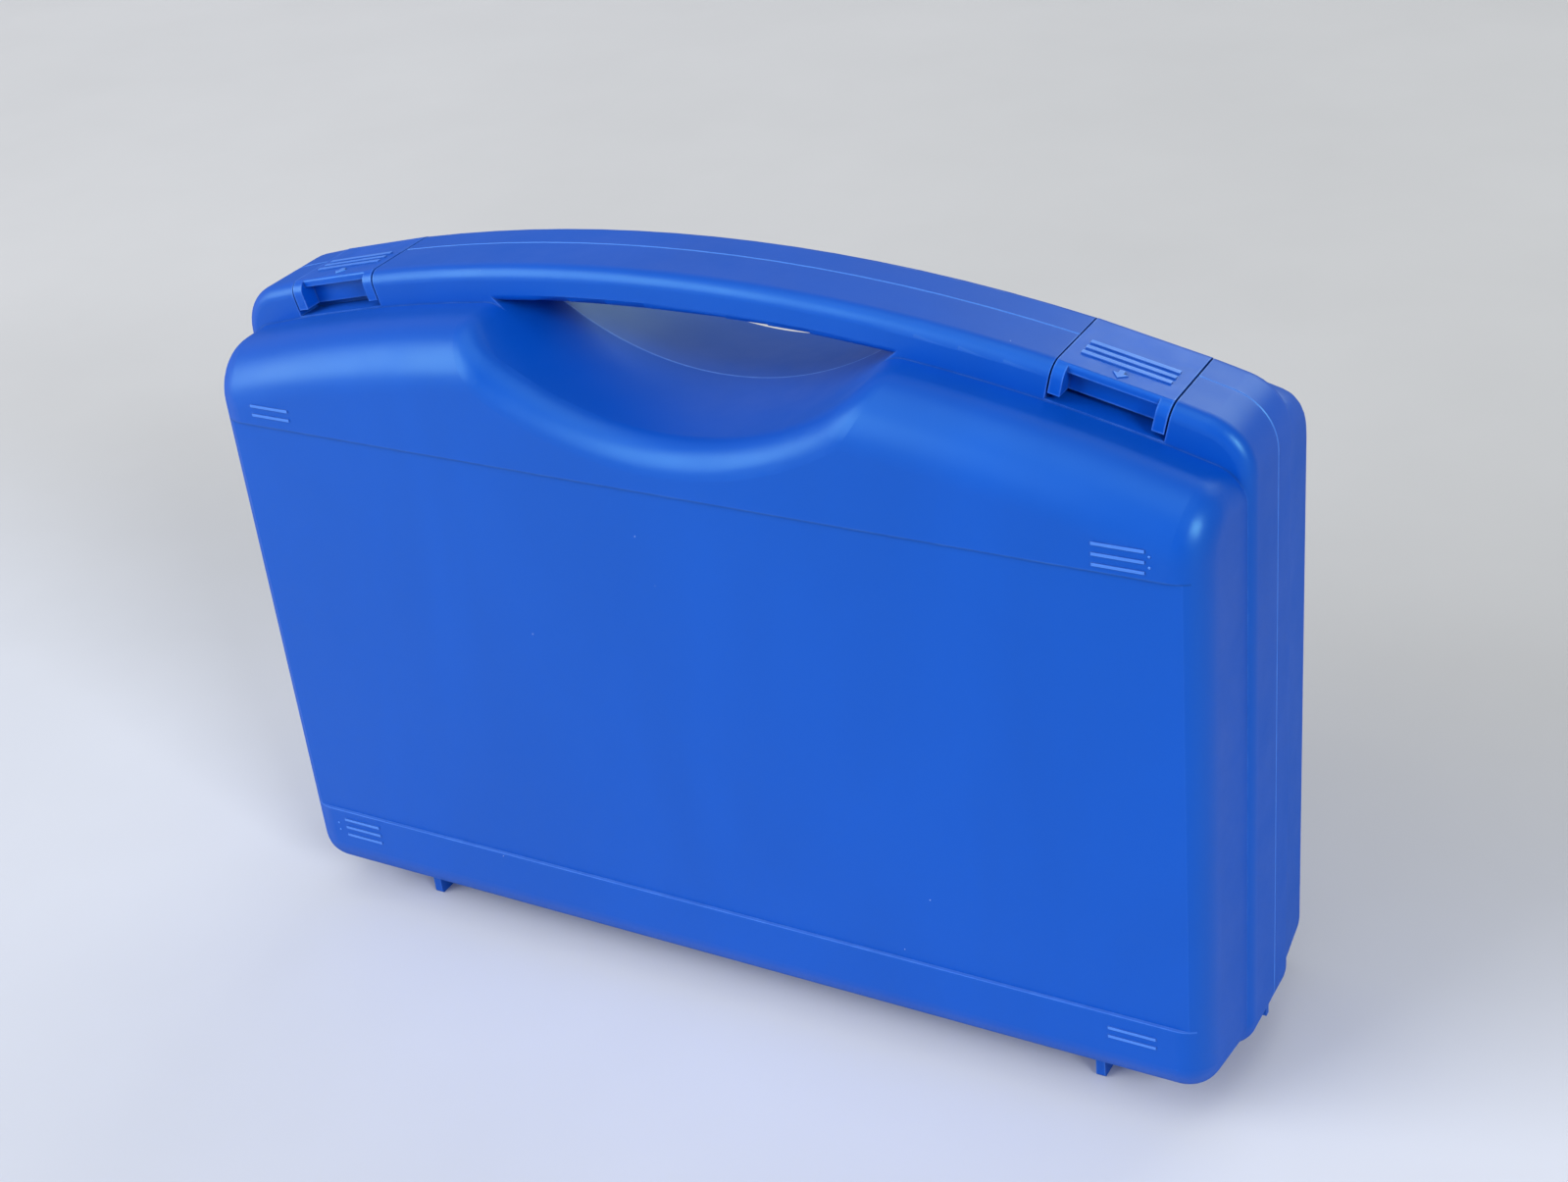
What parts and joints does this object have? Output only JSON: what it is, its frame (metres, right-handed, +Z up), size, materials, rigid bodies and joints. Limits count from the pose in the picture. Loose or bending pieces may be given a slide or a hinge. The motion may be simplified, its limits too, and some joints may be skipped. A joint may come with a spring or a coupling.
{
  "type": "medical equipment case",
  "caption": "Moulded carrying case with a drafted lid and base, arched handle with a hand opening, over-the-rim latches and a pinned hinge.",
  "frame": {"origin": "on the ground under the four feet, midway between the sides, in the parting plane of lid and base", "axes": "+X to the right when facing the lid, +Y from the lid to the base, +Z up towards the handle"},
  "size_m": [0.344, 0.0907, 0.2473],
  "materials": {
    "shell_plastic": "satin, finely textured blue polypropylene",
    "latch_plastic": "satin blue polypropylene",
    "pin_steel": "drawn steel wire"
  },
  "bodies": {
    "base": {"base_shell": "shell_plastic", "hinge_pin_left": "pin_steel", "hinge_pin_right": "pin_steel", "latch_pin_left": "pin_steel", "latch_pin_right": "pin_steel"},
    "lid": {"lid_shell": "shell_plastic"},
    "latch_left": {"latch_left": "latch_plastic"},
    "latch_right": {"latch_right": "latch_plastic"}
  },
  "joints": [
    {"name": "lid_hinge", "type": "hinge", "parent": "base", "child": "lid", "pos_m": [0, 0, 0.0052], "axis": [1, 0, 0], "range_deg": [0, 150]},
    {"name": "latch_left_pivot", "type": "hinge", "parent": "base", "child": "latch_left", "pos_m": [-0.13157, 0.0104, 0.22772], "axis": [-0.9744, 0, -0.2247], "range_deg": [0, 105]},
    {"name": "latch_right_pivot", "type": "hinge", "parent": "base", "child": "latch_right", "pos_m": [0.13157, 0.0104, 0.22772], "axis": [-0.9744, 0, 0.2247], "range_deg": [0, 105]}
  ]
}
